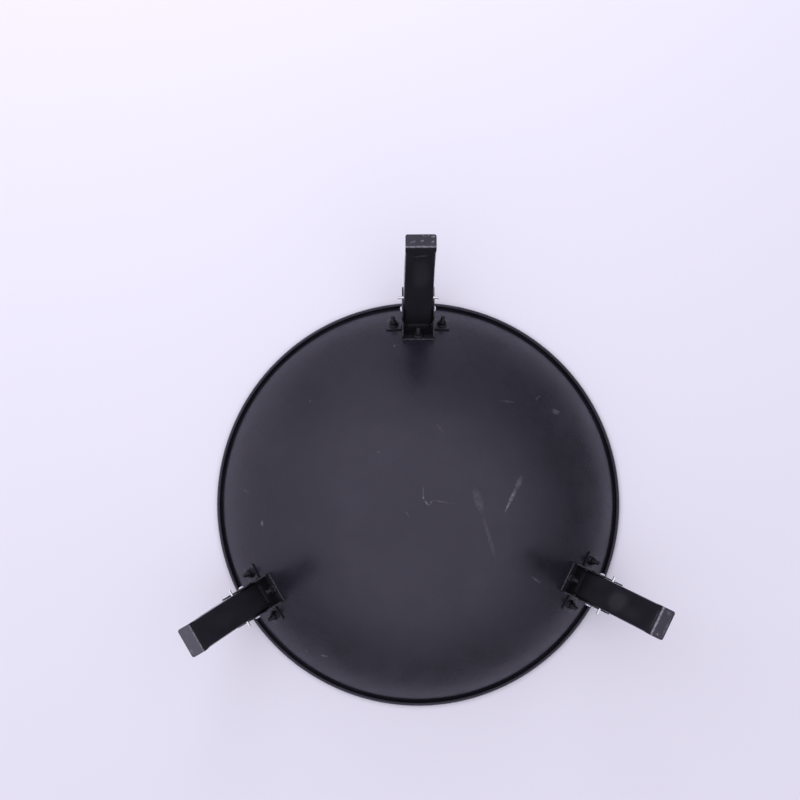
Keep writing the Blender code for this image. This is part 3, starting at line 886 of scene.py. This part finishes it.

# Painted reflections: lighter patches on the legs' faces, as above
LEG_PAINTED_REFLECTIONS = {
    1: ((0.3030, 0.0020, 0.0190, 0.0160, 0.0, 0.050),),
    2: ((0.3000, 0.0000, 0.0160, 0.0130, 0.0, 0.016),),
    3: ((0.2910, 0.0010, 0.0130, 0.0185, 0.0, 0.062), (0.3070, 0.0060, 0.0130, 0.0110, 0.0, 0.022)),
}
BEND_LINE = FOOT_START + 0.0010
BEND_WIDTH = {1: 0.0016, 2: 0.0011, 3: 0.0018}
# How much lighter each leg's paint is along the foot's bend.
BEND_LIGHTENING = {1: 0.72, 2: 0.66, 3: 0.80}
FOOT_DUST = {1: 0.00, 2: 0.17, 3: 0.00}


def spots(net, place, marks):
    """How much of the marks is at a place: long soft-edged spots."""
    total = 0.0
    for x, y, half_length, half_width, turn, strength in marks:
        spot = net.add("ShaderNodeMapping", {"vector_type": "TEXTURE"}, Vector=place)
        spot.inputs["Location"].default_value = (x, y, 0.0)
        spot.inputs["Rotation"].default_value = (0.0, 0.0, math.radians(turn))
        spot.inputs["Scale"].default_value = (half_length, half_width, 10.0)
        inside = net.ramp(net.vector("LENGTH", spot.outputs[0]), 0.35, 1.0, strength, 0.0)
        total = net.math("MAXIMUM", inside, total)
    return total


def rubbed(net, place, marks):
    """How far the paint is rubbed off: the marks, broken up by a noise."""
    broken = net.ramp(net.noise(place, 330.0, 4.0, 0.65), 0.36, 0.60, 0.15, 1.0)
    return net.math("MULTIPLY", spots(net, place, marks), broken)


def paint(name, tone, roughness):
    """Semi-matt black heat-resistant paint: faint clouding, a fine grain and slow waves."""
    made, net, shader = new_material(name)
    place = net.add("ShaderNodeTexCoord").outputs["Object"]
    darker = tuple(0.8 * value for value in tone) + (1.0,)
    lighter = tuple(1.3 * value for value in tone) + (1.0,)
    colour = net.mix(net.ramp(net.noise(place, 9.0, 3.0, 0.55), 0.35, 0.68), darker, lighter)
    patchy = net.noise(place, 30.0, 4.0, 0.6)
    rough = net.ramp(patchy, 0.3, 0.7, roughness - ROUGH_SPREAD, roughness + ROUGH_SPREAD)
    grain = net.noise(place, 900.0, 2.0, 0.6)
    fine = net.add("ShaderNodeBump", None, Strength=0.14, Distance=0.00005, Height=grain)
    swell = net.noise(place, 16.0, 2.0)
    waves = net.add("ShaderNodeBump", None, Strength=0.25, Distance=0.0006, Height=swell)
    net.links.new(fine.outputs[0], waves.inputs["Normal"])
    net.set(shader, "Roughness", rough)
    net.set(shader, "Normal", waves.outputs[0])
    net.set(shader, "Base_Color", colour)
    net.set(shader, "Specular_IOR_Level", 0.60)
    net.set(shader, "Specular_Tint", PAINT_SHEEN)
    return made, net, shader, place, colour, rough


def downward(net, start):
    """How far the surface faces down at rest: 1 below start, 0 above level."""
    facing = net.add("ShaderNodeTexCoord").outputs["Normal"]
    parts = net.add("ShaderNodeSeparateXYZ", None, i0=facing).outputs
    return net.ramp(parts[2], start, 0.0, 1.0, 0.0)


def show_wear_and_painted_light(net, shader, colour, rough, marks):
    """Let the marks show through the paint, lighter and duller: scuffs and wear, and on the legs and
    brackets also painted reflections and a painted highlight.
    """
    net.set(shader, "Base_Color", net.mix(marks, colour, SCUFF_AND_PAINTED_LIGHT))
    net.set(shader, "Roughness", net.math("MULTIPLY_ADD", marks, 0.25, rough, clamp=True))


def bowl_paint():
    made, net, shader, place, colour, rough = paint("bowl_paint", BOWL_TONE, 0.29)
    from_axis = net.vector("SUBTRACT", place, (AXIS.x, AXIS.y, 0.0))
    marks = net.math("MULTIPLY", rubbed(net, from_axis, BOWL_MARKS), downward(net, -0.2))
    show_wear_and_painted_light(net, shader, colour, rough, marks)
    return made


def leg_place(net, place, number):
    """The place in the leg's own frame: X out from the bowl's axis, Y across, Z up."""
    local = net.add("ShaderNodeMapping", {"vector_type": "TEXTURE"}, Vector=place)
    local.inputs["Location"].default_value = (AXIS.x, AXIS.y, 0.0)
    local.inputs["Rotation"].default_value = (0.0, 0.0, math.radians(LEG_AZIMUTHS[number - 1]))
    return local.outputs[0]


def leg_paint(number):
    """The leg's paint, lighter along the foot's bend, scuffed on the foot, and with painted reflections on
    its face.
    """
    made, net, shader, place, colour, rough = paint(f"leg_paint_{number}", LEG_TONE, 0.34)
    local = leg_place(net, place, number)
    parts = net.add("ShaderNodeSeparateXYZ", None, i0=local).outputs
    outside = downward(net, -0.1)
    low = net.ramp(parts[2], 0.0, 0.016, 1.0, 0.0)
    wander = net.math("MULTIPLY_ADD", net.noise(local, 220.0, 3.0), 0.0014, -0.0007)
    from_bend = net.math("ABSOLUTE", net.math("ADD", net.math("SUBTRACT", parts[0], BEND_LINE), wander))
    patchy = net.ramp(net.noise(local, 240.0, 4.0, 0.65), 0.36, 0.58, 0.30, 1.0)
    # Lighter along the foot's bend.
    bend = net.ramp(from_bend, 0.35 * BEND_WIDTH[number], BEND_WIDTH[number], BEND_LIGHTENING[number], 0.0)
    bend = net.math("MULTIPLY", net.math("MULTIPLY", bend, patchy), low)
    specks = net.ramp(net.noise(local, 150.0, 5.0, 0.7), 0.45, 0.75, 0.0, 0.03)
    dust = net.math("ADD", specks, FOOT_DUST[number])
    dust = net.math("MULTIPLY", dust, net.ramp(parts[0], BEND_LINE - 0.001, BEND_LINE + 0.001))
    marks = net.math("MAXIMUM", net.math("MAXIMUM", bend, dust), rubbed(net, local, LEG_MARKS[number]))
    # The patches added here are painted reflections on the leg's face.
    marks = net.math("MULTIPLY", net.math("MAXIMUM", marks, spots(net, local, LEG_PAINTED_REFLECTIONS[number])), outside)
    show_wear_and_painted_light(net, shader, colour, rough, marks)
    return made


def bracket_paint(number):
    """The bracket's paint, made darker than the bowl's and legs' as painted shade for the dark pocket
    between its ears, with a painted highlight along the tongue's inboard edge.
    """
    name = f"bracket_paint_{number}"
    made, net, shader, place, colour, rough = paint(name, BRACKET_SHADED_TONE, 0.36)
    local = leg_place(net, place, number)
    parts = net.add("ShaderNodeSeparateXYZ", None, i0=local).outputs
    edge = draped(TONGUE_START, 0.0, GAP + PLATE)
    # A painted highlight: lighter along the tongue's inboard edge, where the sheet's edge catches the
    # light.
    near = net.ramp(parts[0], edge.x, edge.x + 0.0008, 0.26, 0.0)
    between = net.ramp(net.math("ABSOLUTE", parts[1]), EAR_INSIDE, EAR_INSIDE + 0.001, 1.0, 0.0)
    patchy = net.ramp(net.noise(local, 300.0, 3.0), 0.35, 0.6, 0.35, 1.0)
    show_wear_and_painted_light(net, shader, colour, rough, net.math("MULTIPLY", net.math("MULTIPLY", near, between), patchy))
    pocket = net.math("MULTIPLY", net.ramp(parts[0], edge.x + 0.004, edge.x + 0.008), between)
    net.set(shader, "Specular_IOR_Level", net.math("MULTIPLY_ADD", pocket, -0.50, 0.60))
    return made


def metal(name, colour, roughness, metallic):
    """A bare or oxidised metal with a fine speckle."""
    made, net, shader = new_material(name)
    place = net.add("ShaderNodeTexCoord").outputs["Object"]
    speckle = net.noise(place, 700.0, 3.0, 0.6)
    darker = tuple(0.8 * value for value in colour[:3]) + (1.0,)
    net.set(shader, "Base_Color", net.mix(speckle, darker, colour))
    net.set(shader, "Roughness", net.ramp(speckle, 0.3, 0.7, roughness * 0.8, roughness * 1.25))
    net.set(shader, "Metallic", metallic)
    net.set(shader, "Specular_IOR_Level", 0.30)
    net.set(shader, "Specular_Tint", PAINT_SHEEN)
    bump = net.add("ShaderNodeBump", None, Strength=0.15, Distance=0.00003, Height=net.noise(place, 1500.0))
    net.set(shader, "Normal", bump.outputs[0])
    return made


# ---------------------------------------------------------------- the object


def add_piece(name, mesh, surface, body, node):
    """A finer piece in the place of a CAD node, moving with its body."""
    made = add_mesh(name, mesh, surface)
    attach(made, body)
    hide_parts(node)
    return made


def add_station(number, meshes, finishes):
    """One leg, its bracket and their fasteners."""
    at = station(number)
    fixed, folding = "bowl_assembly", f"folding_leg_{number}"
    rows = [
        ("bracket_sheet", "bracket", bracket_paint(number), fixed, "bracket", "black_paint"),
        ("leg_channel", "leg", leg_paint(number), folding, "leg", "black_paint"),
        ("rivet", "rivet", finishes["bright_zinc"], fixed, "pivot_rivet", "bright_zinc"),
        ("cross_pin", "pin", finishes["bright_zinc"], folding, "stop_pin", "bright_zinc"),
    ]
    for name, mesh, surface, body, node, slot in rows:
        piece = moved(meshes[mesh].copy(), at)
        add_piece(f"{name}_{number}", piece, surface, body, f"{node}_{number}")
    for place, (along, across) in bolt_places().items():
        stand = at @ wall_frame(along, across)
        for mesh, node in (("screw", "bracket_screw"), ("nut", "flange_nut")):
            piece = moved(meshes[mesh].copy(), stand)
            name, node_name = f"{mesh}_{number}_{place}", f"{node}_{number}_{place}"
            add_piece(name, piece, finishes["black_oxide"], fixed, node_name)


def add_object():
    finishes = {
        "bright_zinc": metal("bright_zinc", (0.80, 0.80, 0.84, 1.0), 0.22, 1.0),
        "black_oxide": metal("black_oxide", (0.0060, 0.0058, 0.0070, 1.0), 0.30, 0.0),
    }
    add_piece("bowl_sheet", bowl_mesh(), bowl_paint(), "bowl_assembly", "bowl")
    makers = {
        "bracket": bracket_mesh,
        "leg": leg_mesh,
        "screw": screw_mesh,
        "nut": nut_mesh,
        "rivet": rivet_mesh,
        "pin": pin_mesh,
    }
    meshes = {name: make() for name, make in makers.items()}
    for number in (1, 2, 3):
        add_station(number, meshes, finishes)


add_camera()
add_stage()
add_object()
